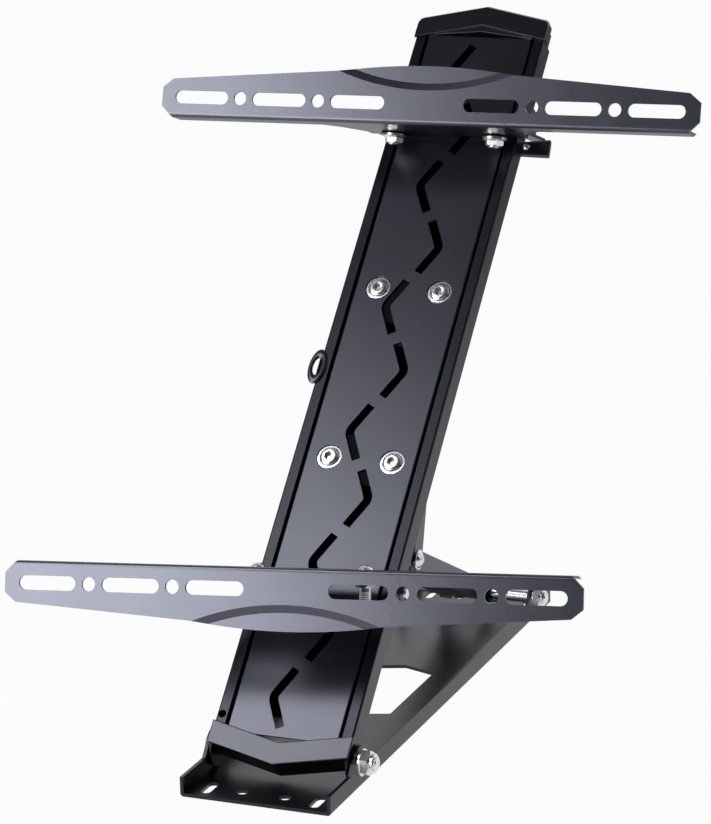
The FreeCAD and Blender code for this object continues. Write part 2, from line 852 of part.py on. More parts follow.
def tilt_bracket():
    """Plate on the bar's flange that forks round the spine, with an ear beside each rail."""
    y0 = -plate_level
    y1 = y0 + tilt_wall
    front = -tilt_front
    back = -face_reach - tilt_back
    notch = -face_reach + tilt_notch
    plate = box(-tilt_half_width, tilt_half_width, y0, y1, back, front)
    upright = [e for e in plate.Edges if e.BoundBox.YLength > tilt_wall * 0.9]
    plate = plate.makeFillet(tilt_corner, upright)
    plate = plate.cut(box(-tilt_ear_inner, tilt_ear_inner, y0 - 1, y1 + 1, back - 1, notch))
    for side in (-1, 1):
        x0 = tilt_ear_inner if side > 0 else -tilt_ear_inner - tilt_wall
        root = box(x0, x0 + tilt_wall, y0, 0, -face_reach - tilt_ear_radius,
                   -face_reach + tilt_ear_radius)
        plate = plate.fuse(root)
        plate = plate.fuse(rod_x(tilt_ear_radius, x0, x0 + tilt_wall, 0, -face_reach))
    plate = plate.removeSplitter()
    plate = plate.cut(rod_x(tilt_pin_radius + running_gap, -tilt_half_width, tilt_half_width, 0,
                            -face_reach))
    for x in (-bolt_spacing / 2, bolt_spacing / 2):
        plate = plate.cut(rod_y(bolt_radius, y0 - 1, y1 + 1, x, -bolt_depth))
    return plate


def bar_bolt():
    """Round-head bolt: head on the bracket plate, shank down through the flange."""
    seat = -plate_level + tilt_wall
    radius = (bolt_head_radius ** 2 + bolt_head_height ** 2) / (2 * bolt_head_height)
    ball = Part.makeSphere(radius, V(0, seat + bolt_head_height - radius, 0))
    head = ball.common(rod_y(bolt_head_radius, seat, seat + bolt_head_height, 0, 0))
    tip = -bar_foot - bolt_washer - flange_nut_height - bolt_end
    shank = rod_y(bolt_radius, tip, seat + 0.5, 0, 0)
    shank = shank.makeChamfer(0.8, [e for e in shank.Edges if abs(e.BoundBox.Center.y - tip) < 0.01])
    return head.fuse(shank).removeSplitter()


def dome_bolt():
    """Dome-head bolt: head on the flange, shank up through the bracket plate and its nut."""
    radius = (dome_radius ** 2 + dome_height ** 2) / (2 * dome_height)
    ball = Part.makeSphere(radius, V(0, -bar_foot - dome_height + radius, 0))
    head = ball.common(rod_y(dome_radius, -bar_foot - dome_height, -bar_foot, 0, 0))
    tip = -plate_level + tilt_wall + bolt_washer + flange_nut_height + inner_bolt_end
    shank = rod_y(bolt_radius, -bar_foot - 0.5, tip, 0, 0)
    shank = shank.makeChamfer(0.8, [e for e in shank.Edges if abs(e.BoundBox.Center.y - tip) < 0.01])
    return head.fuse(shank).removeSplitter()


def inner_washer():
    y0 = -plate_level + tilt_wall
    disc = rod_y(bolt_washer_radius, y0, y0 + bolt_washer, 0, 0)
    return disc.cut(rod_y(bolt_radius, y0 - 1, y0 + bolt_washer + 1, 0, 0))


def bar_washer():
    y0 = -bar_foot - bolt_washer
    disc = rod_y(bolt_washer_radius, y0, -bar_foot, 0, 0)
    return disc.cut(rod_y(bolt_radius, y0 - 1, -bar_foot + 1, 0, 0))


def flange_nut(direction):
    """Flange nut with its rim at the origin, pointing along a direction."""
    rim = rod_z(flange_nut_rim, 0, flange_nut_rim_height, 0, 0)
    slope = Part.makeCone(flange_nut_rim, flange_nut_flats / 2, flange_nut_rim_height,
                          V(0, 0, flange_nut_rim_height), Z_AXIS)
    nut = hex_nut(flange_nut_flats, flange_nut_height, bolt_radius / 2).fuse(rim).fuse(slope)
    nut = nut.cut(rod_z(bolt_radius, -1, flange_nut_height + 1, 0, 0)).removeSplitter()
    return turned(nut, direction)


def bar_nut():
    return moved(flange_nut(V(0, -1, 0)), 0, -bar_foot - bolt_washer, 0)


def inner_nut():
    return moved(flange_nut(Y_AXIS), 0, -plate_level + tilt_wall + bolt_washer, 0)


def pair(make):
    shape = make()
    return [moved(shape, x, 0, -bolt_depth) for x in (-bolt_spacing / 2, bolt_spacing / 2)]


def receiver_box():
    """Small box on the right rail, its upper side rising outwards."""
    x0 = spine_half
    x1 = x0 + box_width
    low = box_place - box_length / 2
    high = box_place + box_length / 2
    body = prism([(x0, low, box_back), (x1, low, box_back), (x1, high + box_slope, box_back),
                  (x0, high, box_back)], V(0, 0, box_front - box_back))
    edges = []
    for edge in body.Edges:
        centre = edge.BoundBox.Center
        if edge.BoundBox.ZLength > 1 and centre.x > x1 - 0.01:
            edges.append(edge)
    return body.makeFillet(box_corner, edges)


def receiver_screw():
    x = spine_half + box_width * 0.35
    head = rod_z(box_screw_radius, box_front, box_front + box_screw_height, x, box_place)
    rim = [e for e in head.Edges if e.BoundBox.Center.z > box_front + box_screw_height * 0.9]
    return head.makeFillet(box_screw_height * 0.6, rim)


def bar_frame(place, skew):
    """Frame of a bar: X along it, Z out of its face, its hole row at the origin."""
    tilt = FreeCAD.Placement(V(0, 0, 0), FreeCAD.Rotation(X_AXIS, tilt_angle))
    reach = FreeCAD.Placement(V(0, 0, face_reach), FreeCAD.Rotation())
    return spine_frame.multiply(pivot_frame(place, skew)).multiply(tilt).multiply(reach)


def flipped(shapes):
    return [shape.mirror(V(0, 0, 0), Y_AXIS) for shape in shapes]


def save(name, shapes):
    shape = shapes[0] if len(shapes) == 1 else Part.makeCompound(shapes)
    shape.exportStep("parts/" + name + ".step")
    solids = shape.Solids
    volume = sum(s.Volume for s in solids)
    print(name, len(solids), "solids", round(volume / 1000, 1), "cm3", shape.isValid())


def save_base():
    save("base_plate", in_frame([base_plate()], base_frame))
    save("hinge_axle", in_frame([hinge_axle()], base_frame))
    washer = ring_x(axle_radius, hinge_washer_radius, base_outer, base_outer + hinge_washer, 0, 0)
    save("hinge_washer", in_frame([washer], base_frame))
    nut = side_nut(hinge_nut_flats, hinge_nut, base_outer + hinge_washer, 0)
    save("hinge_nut", in_frame([nut], base_frame))
    bush = lambda: ring_x(axle_radius, hinge_washer_radius, spine_half + face_clearance, base_inner, 0, 0)
    save("hinge_bushes", in_frame(both_sides(bush), base_frame))
    save("rear_axle", in_frame([moved(cross_rod(rear_end()), 0, axle_place, 0)], base_frame))
    washer = lambda: ring_x(axle_radius, rear_washer_radius, base_outer, base_outer + rear_washer,
                            axle_place, 0)
    save("rear_washers", in_frame(both_sides(washer), base_frame))
    nut = lambda: side_nut(hinge_nut_flats, rear_nut, base_outer + rear_washer, axle_place)
    save("rear_nuts", in_frame(both_sides(nut), base_frame))
    start = lower_link_half + face_clearance * 2
    collar = lambda: ring_x(axle_radius, collar_radius, start, start + collar_width, axle_place, 0)
    save("rear_collars", in_frame(both_sides(collar), base_frame))


def save_spine():
    save("left_rail", in_frame([rail(-1)], spine_frame))
    save("right_rail", in_frame([rail(1)], spine_frame))
    save("face_plate", in_frame([face_plate()], spine_frame))
    save("back_cover", in_frame([back_cover()], spine_frame))
    save("top_end_cap", in_frame([top_end_cap()], spine_frame))
    save("bottom_end_cap", in_frame([bottom_end_cap()], spine_frame))
    sleeve = ring_x(axle_radius + running_gap, sleeve_radius, -rail_inner, rail_inner, 0, 0)
    save("hinge_sleeve", in_frame([sleeve], spine_frame))
    save("link_bracket", in_frame([link_bracket()], spine_frame))
    save("plate_brace", in_frame([plate_brace()], spine_frame))
    save("face_screws", in_frame(face_screws(), spine_frame))
    save("face_nuts", in_frame(face_nuts(), spine_frame))
    save("link_pin", in_frame([link_pin()], spine_frame))
    save("eye_tab", in_frame([eye_tab()], spine_frame))
    save("receiver_box", in_frame([receiver_box()], spine_frame))
    save("receiver_screw", in_frame([receiver_screw()], spine_frame))
    save("upper_tilt_pins", in_frame(tilt_pins(upper_pivot_place, upper_bar_skew), spine_frame))
    save("lower_tilt_pins", in_frame(tilt_pins(lower_pivot_place, lower_bar_skew), spine_frame))


def save_links():
    save("upper_link", upper_link())
    save("knee_pins", in_frame(both_sides(knee_pin), base_frame))
    save("knee_washers", in_frame(both_sides(knee_disc), base_frame))
    save("lower_link", lower_link())


def save_bars():
    shared = {"tv_bar": [tv_bar()], "tilt_bracket": [tilt_bracket()]}
    upper = {"bar_bolts": pair(bar_bolt), "bar_washers": pair(bar_washer), "bar_nuts": pair(bar_nut)}
    lower = {"bar_bolts": pair(dome_bolt), "bar_washers": pair(inner_washer),
             "bar_nuts": pair(inner_nut)}
    for name, shapes in {**shared, **upper}.items():
        save("upper_" + name, in_frame(shapes, bar_frame(upper_pivot_place, upper_bar_skew)))
    for name, shapes in {**shared, **lower}.items():
        save("lower_" + name, in_frame(flipped(shapes), bar_frame(lower_pivot_place, lower_bar_skew)))


os.makedirs("parts", exist_ok=True)
save_base()
save_spine()
save_links()
save_bars()
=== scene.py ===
# %% [markdown]
# A folding wall mount for a display, dressed in Blender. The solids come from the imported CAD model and
# stay where they are: this lesson gives them their finishes, adds the small things that CAD leaves plain,
# and sets up the light and the camera. Everything is in metres, with +Z up from the base.

# %% Load the frame
import bpy
import json
import math
from mathutils import Matrix, Quaternion, Vector


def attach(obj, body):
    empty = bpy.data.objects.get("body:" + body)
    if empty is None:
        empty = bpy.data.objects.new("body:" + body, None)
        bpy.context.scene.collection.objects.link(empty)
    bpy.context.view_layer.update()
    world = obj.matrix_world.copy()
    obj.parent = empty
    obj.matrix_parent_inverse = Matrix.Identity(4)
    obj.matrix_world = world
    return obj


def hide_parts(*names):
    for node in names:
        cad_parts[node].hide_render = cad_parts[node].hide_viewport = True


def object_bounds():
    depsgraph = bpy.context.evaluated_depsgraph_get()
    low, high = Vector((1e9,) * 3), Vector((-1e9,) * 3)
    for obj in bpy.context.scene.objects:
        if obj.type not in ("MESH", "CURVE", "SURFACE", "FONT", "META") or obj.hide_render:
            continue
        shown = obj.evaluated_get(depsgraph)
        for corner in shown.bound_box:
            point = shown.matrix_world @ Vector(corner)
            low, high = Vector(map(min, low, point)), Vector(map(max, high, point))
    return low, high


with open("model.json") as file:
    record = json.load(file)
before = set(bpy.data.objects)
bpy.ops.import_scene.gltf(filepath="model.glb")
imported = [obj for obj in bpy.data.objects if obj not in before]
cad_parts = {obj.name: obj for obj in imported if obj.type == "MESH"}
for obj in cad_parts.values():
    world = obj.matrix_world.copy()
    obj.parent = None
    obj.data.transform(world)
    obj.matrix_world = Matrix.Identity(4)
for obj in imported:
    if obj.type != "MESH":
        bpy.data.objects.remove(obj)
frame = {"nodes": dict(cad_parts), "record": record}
cad_box = [list(map(float, corner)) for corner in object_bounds()]
print("nodes:", len(frame["nodes"]), "CAD box:", cad_box)

# %% [markdown]
# Shader maths reads best as plain expressions. A Level wraps one socket, and each operator on it adds the
# Math node that does the work, so `0.4 + grain * 0.1` builds two nodes. A Finish holds one material, and
# its node method adds any other kind of node: settings are given first, then the sockets by name.

# %% Shader helpers
class Level:
    """One number of a shader, as an output socket that Python's operators work on."""

    def __init__(self, finish, socket):
        self.finish = finish
        self.socket = socket

    def _combine(self, operation, first, second):
        node = self.finish.node("ShaderNodeMath", {"operation": operation}, {0: first, 1: second})
        return Level(self.finish, node.outputs[0])

    def __add__(self, other):
        return self._combine("ADD", self, other)

    def __radd__(self, other):
        return self._combine("ADD", other, self)

    def __mul__(self, other):
        return self._combine("MULTIPLY", self, other)

    def __rmul__(self, other):
        return self._combine("MULTIPLY", other, self)


class Finish:
    """A material with its shader, and one method that adds every kind of node."""

    def __init__(self, name):
        self.material = bpy.data.materials.new(name)
        self.material.use_nodes = True
        self.tree = self.material.node_tree
        self.shader = self.tree.nodes["Principled BSDF"]
        self.place = self.node("ShaderNodeTexCoord").outputs["Object"]

    def node(self, kind, settings=None, sockets=None):
        made = self.tree.nodes.new(kind)
        for name, value in (settings or {}).items():
            setattr(made, name, value)
        for name, value in (sockets or {}).items():
            self.feed(made.inputs[name], value)
        return made

    def feed(self, socket, value):
        if isinstance(value, Level):
            value = value.socket
        if isinstance(value, bpy.types.NodeSocket):
            self.tree.links.new(value, socket)
        else:
            socket.default_value = value

    def noise(self, size, detail=2.0, roughness=0.5):
        """Noise whose lumps are about size metres across."""
        made = self.node("ShaderNodeTexNoise", sockets={
            "Vector": self.place, "Scale": 1.0 / size, "Detail": detail, "Roughness": roughness})
        return Level(self, made.outputs["Fac"])

    def mix_colour(self, share, low, high):
        made = self.node("ShaderNodeMix", {"data_type": "RGBA"})
        self.feed(made.inputs[0], share)
        self.feed(made.inputs[6], (*low, 1.0))
        self.feed(made.inputs[7], (*high, 1.0))
        return made.outputs[2]

    def set(self, **values):
        """Sockets of the shader by name, with underscores for spaces."""
        for name, value in values.items():
            self.feed(self.shader.inputs[name.replace("_", " ")], value)

    def bump(self, height, distance, strength=1.0):
        made = self.node("ShaderNodeBump", sockets={
            "Height": height, "Distance": distance, "Strength": strength})
        self.feed(self.shader.inputs["Normal"], made.outputs["Normal"])


print("shader helpers ready")

# %% [markdown]
# The steel is powder coated: a satin black with a sandy grain that catches the light. The grain is a noise
# about a millimetre across, which is coarser than the real one, so that it shows from a distance. It feeds
# the bump and, a little, the colour and the roughness. A second, far larger noise makes the sheen uneven, as
# real coating is. A plain glossy black would look like plastic.

# %% Powder coat
grain_size = 0.0011
grain_height = 0.00005
cloud_size = 0.05


def powder_coat(name, dark, light, roughness, gloss):
    coat = Finish(name)
    grain = coat.noise(grain_size, detail=3.0, roughness=0.6)
    cloud = coat.noise(cloud_size, detail=2.0)
    coat.set(Base_Color=coat.mix_colour(cloud * 0.6 + grain * 0.4, dark, light),
             Roughness=roughness + cloud * 0.06 + grain * 0.05,
             IOR=1.7, Specular_IOR_Level=gloss, Specular_Tint=(0.80, 0.83, 1.0, 1.0))
    coat.bump(grain, grain_height, 0.7)
    return coat.material


frame_coat = powder_coat("frame_coat", (0.003, 0.003, 0.005), (0.008, 0.008, 0.011), 0.25, 0.68)
# A darker, less glossy copy of the frame coat: painted shade for the rails and the base.
shaded_satin_coat = powder_coat("shaded_satin_coat", (0.002, 0.002, 0.003), (0.006, 0.006, 0.008), 0.27, 0.30)
bar_coat = powder_coat("bar_coat", (0.004, 0.004, 0.006), (0.010, 0.010, 0.014), 0.23, 0.83)
# Near-black and dull: painted shade for the nodes that lie in the dark behind the plate and the bars; the
# washers under the upper bar take it too.
painted_shade_coat = powder_coat("painted_shade_coat", (0.001, 0.001, 0.001), (0.003, 0.003, 0.003), 0.75, 0.1)
print("coats:", frame_coat.name, bar_coat.name)

# %% [markdown]
# Screws, nuts, washers and rods are bright plated steel. Plating follows the tool marks beneath it, so
# its roughness wanders a little and its colour is broken up by faint cloudy stains.

# %% Bright plating
stain_size = 0.004
scratch_size = 0.0009
scratch_depth = 0.000006


def bright_plating(name, roughness):
    plating = Finish(name)
    stain = plating.noise(stain_size, detail=3.0)
    scratch = plating.noise(scratch_size, detail=2.0)
    plating.set(Base_Color=plating.mix_colour(stain, (0.80, 0.80, 0.82), (0.96, 0.96, 0.97)),
                Metallic=0.9,
                Roughness=roughness + stain * 0.10 + scratch * 0.06)
    plating.bump(scratch, scratch_depth, 0.5)
    return plating.material


plated_steel = bright_plating("plated_steel", 0.17)
print("plating:", plated_steel.name)

# %% [markdown]
# The end caps and the small box are moulded in black plastic. A mould's spark-eroded skin gives an even
# texture, finer than the coated steel's. The bushes and the rubber lip take a duller, greyer version.

# %% Moulded plastic
skin_size = 0.0004
skin_height = 0.00003
flow_size = 0.03


def moulded_plastic(name, dark, light, roughness, gloss):
    plastic = Finish(name)
    skin = plastic.noise(skin_size, detail=2.0)
    flow = plastic.noise(flow_size)
    plastic.set(Base_Color=plastic.mix_colour(flow, dark, light),
                Roughness=roughness + skin * 0.08,
                Specular_IOR_Level=gloss, Specular_Tint=(0.82, 0.85, 1.0, 1.0))
    plastic.bump(skin, skin_height, 0.4)
    return plastic.material


cap_plastic = moulded_plastic("cap_plastic", (0.003, 0.003, 0.004), (0.006, 0.006, 0.008), 0.27, 0.97)
bush_plastic = moulded_plastic("bush_plastic", (0.012, 0.012, 0.012), (0.02, 0.02, 0.02), 0.45, 0.4)
print("plastics:", cap_plastic.name, bush_plastic.name)

# %% [markdown]
# Each CAD node takes its finish by the slot that the record names for it, so a node that is added to the
# CAD later is dressed by the same rule. Two short lists come before the rule. Nodes deep behind the plate or
# the bars take a near-black dull coat, which is painted shade that keeps them dark through the slots; the
# washers under the upper bar take it too.
# The rails and the base take a darker copy of the frame's coat, which is painted shade, and it shines less
# than the bars'.

# %% Dress the CAD nodes
finishes = {"black_steel": frame_coat, "bar_steel": bar_coat, "black_plastic": cap_plastic,
            "bright_steel": plated_steel, "bush_plastic": bush_plastic}
dark_coat_nodes = ("link_bracket", "plate_brace", "back_cover", "upper_bar_washers")
shaded_satin_nodes = ("left_rail", "right_rail", "base_plate")
slots = {part["node"]: part["material_slot"] for part in frame["record"]["subparts"]}
for name, node in frame["nodes"].items():
    node.data.materials.clear()
    finish = painted_shade_coat if name in dark_coat_nodes else shaded_satin_coat if name in shaded_satin_nodes else finishes[slots[name]]
    node.data.materials.append(finish)
print("dressed:", len(slots))

# %% [markdown]
# The small pieces are modelled lying flat at the origin, where they are easy to think about, and then
# seated with a frame: a matrix that carries the origin to the spine, or to the lower bar. The angles and
# places are those of the CAD, in degrees and millimetres. Applying the transform afterwards leaves the
# piece's object at the world's origin with its place in its mesh, as the CAD nodes have it.

# %% Frames and helpers for the small pieces
mm = 0.001
hinge_height = 22
spine_angle = 44.9
hinge_frame = Matrix.Translation((0, 0, hinge_height * mm))
spine_frame = hinge_frame @ Matrix.Rotation(math.radians(spine_angle), 4, "X")

# The lower bar: X along the bar, Z out of its face, its row of holes at the origin.
pivot_place = 147.9
pivot_depth = 6.7
pivot_skew = 4.6
bar_tilt = 27
face_reach = 105.3
pivot_middle = Matrix.Translation((0, pivot_place * mm, pivot_depth * mm))
pivot_frame = pivot_middle @ Matrix.Rotation(math.radians(pivot_skew), 4, "Z")
face_frame = Matrix.Rotation(math.radians(bar_tilt), 4, "X") @ Matrix.Translation((0, 0, face_reach * mm))
lower_frame = spine_frame @ pivot_frame @ face_frame


def start(kind, name, **sizes):
    """A new primitive, alone in the selection."""
    if bpy.context.mode != "OBJECT":
        bpy.ops.object.mode_set(mode="OBJECT")
    bpy.ops.object.select_all(action="DESELECT")
    getattr(bpy.ops.mesh, "primitive_" + kind + "_add")(**sizes)
    piece = bpy.context.object
    piece.name = name
    return piece


def pick(piece, kind, wanted):
    """Edit mode with the corners, edges or faces selected that pass a test on their places."""
    if piece.mode == "OBJECT":
        bpy.ops.object.mode_set(mode="EDIT")
    bpy.ops.mesh.select_mode(type=kind)
    bpy.ops.mesh.select_all(action="DESELECT")
    bpy.ops.object.mode_set(mode="OBJECT")
    mesh = piece.data
    if kind == "VERT":
        for corner in mesh.vertices:
            corner.select = wanted(corner.co)
    if kind == "EDGE":
        for edge in mesh.edges:
            edge.select = wanted(*[mesh.vertices[index].co for index in edge.vertices])
    if kind == "FACE":
        for face in mesh.polygons:
            face.select = wanted(face.center, face.normal)
    bpy.ops.object.mode_set(mode="EDIT")


def block(name, x0, x1, y0, y1, z0, z1):
    """Cube between two corners in millimetres, with its place in its mesh, left in edit mode."""
    piece = start("cube", name, size=1)
    bpy.ops.object.mode_set(mode="EDIT")
    bpy.ops.transform.resize(value=((x1 - x0) * mm, (y1 - y0) * mm, (z1 - z0) * mm))
    bpy.ops.transform.translate(value=((x0 + x1) / 2 * mm, (y0 + y1) / 2 * mm, (z0 + z1) / 2 * mm))
    return piece


def use_modifier(piece, kind, **settings):
    """Give the piece a modifier with these settings and apply it at once."""
    modifier = piece.modifiers.new(kind.lower(), kind)
    for name, value in settings.items():
        setattr(modifier, name, value)
    bpy.ops.object.modifier_apply(modifier=modifier.name)


def take_away(piece, tool):
    """Cut the tool's shape out of the piece and delete the tool."""
    bpy.ops.object.mode_set(mode="OBJECT")
    bpy.ops.object.select_all(action="DESELECT")
    piece.select_set(True)
    bpy.context.view_layer.objects.active = piece
    use_modifier(piece, "BOOLEAN", object=tool, operation="DIFFERENCE")
    bpy.data.objects.remove(tool)


def add_to(piece, others):
    """Join other pieces into this one."""
    bpy.ops.object.select_all(action="DESELECT")
    for one in [piece] + others:
        one.select_set(True)
    bpy.context.view_layer.objects.active = piece
    bpy.ops.object.join()


def soften(piece, width):
    """Small bevels that catch the light; weighted normals keep the flat faces flat beside them."""
    use_modifier(piece, "BEVEL", width=width, segments=2, limit_method="ANGLE",
                 angle_limit=math.radians(30))
    bpy.ops.object.shade_smooth_by_angle(angle=math.radians(35))
    use_modifier(piece, "WEIGHTED_NORMAL", weight=100, keep_sharp=True)


def seat(piece, frame_matrix, body, finish):
    """Carry a finished piece to its frame and tie it to the body it rides on."""
    bpy.ops.object.select_all(action="DESELECT")
    piece.select_set(True)
    bpy.context.view_layer.objects.active = piece
    piece.matrix_world = frame_matrix
    bpy.ops.object.transform_apply(location=True, rotation=True, scale=True)
    piece.data.materials.clear()
    piece.data.materials.append(finish)
    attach(piece, body)
    print(piece.name, len(piece.data.polygons), "faces")


def copies_at(piece, places):
    """The piece at the first place and a copy with its own mesh at each other, joined into one."""
    group = [piece]
    for place in places[1:]:
        twin = piece.copy()
        twin.data = piece.data.copy()
        bpy.context.scene.collection.objects.link(twin)
        twin.location = [c * mm for c in place]
        group.append(twin)
    piece.location = [c * mm for c in places[0]]
    bpy.ops.object.select_all(action="DESELECT")
    for one in group:
        one.select_set(True)
    bpy.context.view_layer.objects.active = piece
    bpy.ops.object.join()
    bpy.ops.object.transform_apply(location=True, rotation=True, scale=True)


print("frames at:", [tuple(round(c, 3) for c in f.translation) for f in (spine_frame, lower_frame)])


# %% [markdown]
# Four screws hold the brackets behind the face plate. Each has a broad thin rim, a low round button on it
# and a hexagon socket. A cylinder gives the rim; insetting its top and raising it, smaller each time, gives
# the button; a second cylinder below is the shank. The socket is a six-sided cylinder taken away with a
# boolean, which keeps its walls flat.

# %% Button screws
rim_radius = 11.1
rim_height = 1.6
button_steps = ((1.5, 0.94), (1.1, 0.84), (0.5, 0.78))
socket_radius = 4.3
screw_rows = (441.7, 269.7)
screw_columns = (-29, 29)
plate_front = 15.5
screw = start("cylinder", "button_screws", vertices=48, radius=rim_radius * mm, depth=rim_height * mm,
              location=(0, 0, rim_height / 2 * mm))
pick(screw, "FACE", lambda centre, normal: normal.z > 0.9)
bpy.ops.mesh.inset(thickness=2.0 * mm)
for rise, narrowing in button_steps:
    bpy.ops.mesh.extrude_region_move(TRANSFORM_OT_translate={"value": (0, 0, rise * mm)})
    bpy.ops.transform.resize(value=(narrowing, narrowing, 1.0))
bpy.ops.mesh.select_all(action="DESELECT")
bpy.ops.mesh.primitive_cylinder_add(vertices=32, radius=4 * mm, depth=10.8 * mm, location=(0, 0, -5.4 * mm))
bpy.ops.object.mode_set(mode="OBJECT")
socket = start("cylinder", "socket", vertices=6, radius=socket_radius * mm, depth=8 * mm,
               location=(0, 0, 4.6 * mm))
take_away(screw, socket)
soften(screw, 0.25 * mm)
copies_at(screw, [(column, row, plate_front) for row in screw_rows for column in screw_columns])
seat(screw, spine_frame, "spine", plated_steel)
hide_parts("face_screws")

# %% [markdown]
# The cable eye on the left rail is a flat oval loop that lies on the rail's front edge and reaches past
# it. A torus is squeezed to an oval and flattened, and a thin foot holds it to the rail's flank.

# %% Cable eye
eye_radius = 12.9
eye_thickness = 4.6
eye_middle = (-63.2 * mm, 356 * mm, 19.0 * mm)
eye = start("torus", "cable_eye", major_radius=eye_radius * mm, minor_radius=eye_thickness * mm,
            major_segments=56, minor_segments=20)
bpy.ops.object.mode_set(mode="EDIT")
bpy.ops.mesh.select_all(action="SELECT")
bpy.ops.transform.resize(value=(0.46, 1.0, 0.30))
bpy.ops.transform.translate(value=eye_middle)
bpy.ops.object.mode_set(mode="OBJECT")
eye_foot = block("eye_foot", -62.9, -61.9, 344, 368, 6, 18.8)
bpy.ops.object.mode_set(mode="OBJECT")
add_to(eye, [eye_foot])
soften(eye, 0.3 * mm)
seat(eye, spine_frame, "spine", frame_coat)
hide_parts("eye_tab")

# %% [markdown]
# The top cap is a moulded V-shaped roof with a broad bevel along its upper edges and rounded corners. Its
# front steps down to the plate in one V-shaped ledge, and a plug below it closes the spine's end. Each V is
# a cube cut across its middle, whose middle corners are then raised; this keeps both arms straight and
# exactly as wide as each other.

# %% Top cap
cap_half = 63.0
cap_rise = 13.5
ledge_rise = 7.0
hollow_rise = 5.7


def raise_middle(piece, rise, above=0):
    """Cut a block across its middle and lift that section, or its upper part, which makes a V."""
    bpy.ops.mesh.bisect(plane_co=(0, 0, 0), plane_no=(1, 0, 0))
    pick(piece, "VERT", lambda corner: abs(corner.x) < 0.1 * mm and corner.y > above * mm)
    bpy.ops.transform.translate(value=(0, rise * mm, 0))


roof = block("top_cap", -cap_half, cap_half, 713.5, 736.5, 8.5, 20.5)
raise_middle(roof, cap_rise)
pick(roof, "VERT", lambda corner: corner.x < -60 * mm)
bpy.ops.transform.translate(value=(0, -2.5 * mm, 0))
rails_room = block("rails_room", -64, 64, 600, 716, 0, 18)
take_away(roof, rails_room)
pick(roof, "EDGE", lambda a, b: min(a.z, b.z) > 20 * mm and min(a.y, b.y) > 728 * mm)
bpy.ops.mesh.bevel(offset=4.2 * mm, offset_type="WIDTH", segments=1)
pick(roof, "EDGE", lambda a, b: abs(a.x) > 58 * mm and abs(a.x - b.x) < 3 * mm
     and min(a.y, b.y) > 726 * mm and abs(a.z - b.z) > 2 * mm)
bpy.ops.mesh.bevel(offset=4.0 * mm, segments=4)
bpy.ops.object.mode_set(mode="OBJECT")

plug = block("plug", -60, 60, 699, 733.5, -2, 9)
raise_middle(plug, cap_rise, above=720)
bpy.ops.object.mode_set(mode="OBJECT")

ledge = block("ledge", -51, 51, 714.5, 721.0, 15.2, 18.9)
raise_middle(ledge, ledge_rise)
pick(ledge, "VERT", lambda corner: corner.y > 720 * mm)
bpy.ops.transform.translate(value=(0, -1.0 * mm, 0))
bpy.ops.object.mode_set(mode="OBJECT")
hollow = block("hollow", -27, 27, 700.0, 714.8, 10, 22)
raise_middle(hollow, hollow_rise)
take_away(ledge, hollow)
add_to(roof, [plug, ledge])
soften(roof, 0.5 * mm)
seat(roof, spine_frame, "spine", cap_plastic)
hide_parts("top_end_cap")

# %% [markdown]
# The box on the right rail is a flat moulding with a rounded outer end and a shallow panel inset in its
# front, held by a screw with a cross recess. The box is a cube whose outer end is pulled to the slant of
# the real one; its front is inset and pushed in. The recess is two thin blocks taken away.

# %% Small box and its screw
box = block("small_box", 61.5, 94.5, 591.0, 603.5, 11.5, 16)
pick(box, "VERT", lambda corner: corner.x > 90 * mm and corner.y > 600 * mm)
bpy.ops.transform.translate(value=(-1.8 * mm, 4.5 * mm, 0))
pick(box, "EDGE", lambda a, b: abs(a.z - b.z) > 5 * mm and min(a.x, b.x) > 80 * mm)
bpy.ops.mesh.bevel(offset=2.5 * mm, segments=4)
pick(box, "FACE", lambda centre, normal: normal.z > 0.9)
bpy.ops.mesh.inset(thickness=1.1 * mm)
bpy.ops.mesh.extrude_region_move(TRANSFORM_OT_translate={"value": (0, 0, -0.5 * mm)})
bpy.ops.transform.resize(value=(0.985, 0.985, 1.0))
bpy.ops.object.mode_set(mode="OBJECT")
soften(box, 0.3 * mm)
seat(box, spine_frame, "spine", cap_plastic)
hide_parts("receiver_box")

cross = start("uv_sphere", "box_screw", segments=32, ring_count=16, radius=3.4 * mm)
bpy.ops.object.mode_set(mode="EDIT")
bpy.ops.transform.resize(value=(1, 1, 0.62))
bpy.ops.mesh.bisect(plane_co=(0, 0, 0), plane_no=(0, 0, -1), use_fill=True, clear_outer=True)
bpy.ops.object.mode_set(mode="OBJECT")
for turn in (20, 110):
    blade = start("cube", "blade", size=1, location=(0, 0, 2.1 * mm), rotation=(0, 0, math.radians(turn)))
    blade.scale = (3.8 * mm, 0.9 * mm, 2.0 * mm)
    bpy.ops.object.transform_apply(location=True, rotation=True, scale=True)
    take_away(cross, blade)
bpy.ops.object.shade_smooth_by_angle(angle=math.radians(35))
copies_at(cross, [(71.6, 599.6, 15.4)])
seat(cross, spine_frame, "spine", plated_steel)
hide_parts("receiver_screw")

# %% [markdown]
# Threads show where a bolt's or an axle's end stands out of its nut. At this scale a row of fine rings,
# half sunk in the shank, reads as a thread; a torus is added for each in edit mode. A ring's thickness is a
# fixed share of the thread's pitch, so neighbouring rings leave a groove.

# %% Threads
ring_share = 0.26


def thread(name, radius, pitch, count, first, axis_turn):
    """Rings along X or Y from first onwards, made about the origin."""
    rings = start("torus", name, major_radius=radius * mm, minor_radius=pitch * ring_share * mm,
                  major_segments=40, minor_segments=8)
    bpy.ops.object.mode_set(mode="EDIT")
    for index in range(1, count):
        bpy.ops.mesh.primitive_torus_add(major_radius=radius * mm, minor_radius=pitch * ring_share * mm,
                                         major_segments=40, minor_segments=8,
                                         location=(0, 0, index * pitch * mm))
    bpy.ops.object.mode_set(mode="OBJECT")
    bpy.ops.object.shade_smooth()
    rings.location.z = first * mm
    bpy.ops.object.transform_apply(location=True, rotation=False, scale=False)
    rings.matrix_world = axis_turn
    bpy.ops.object.transform_apply(location=True, rotation=True, scale=False)
    return rings


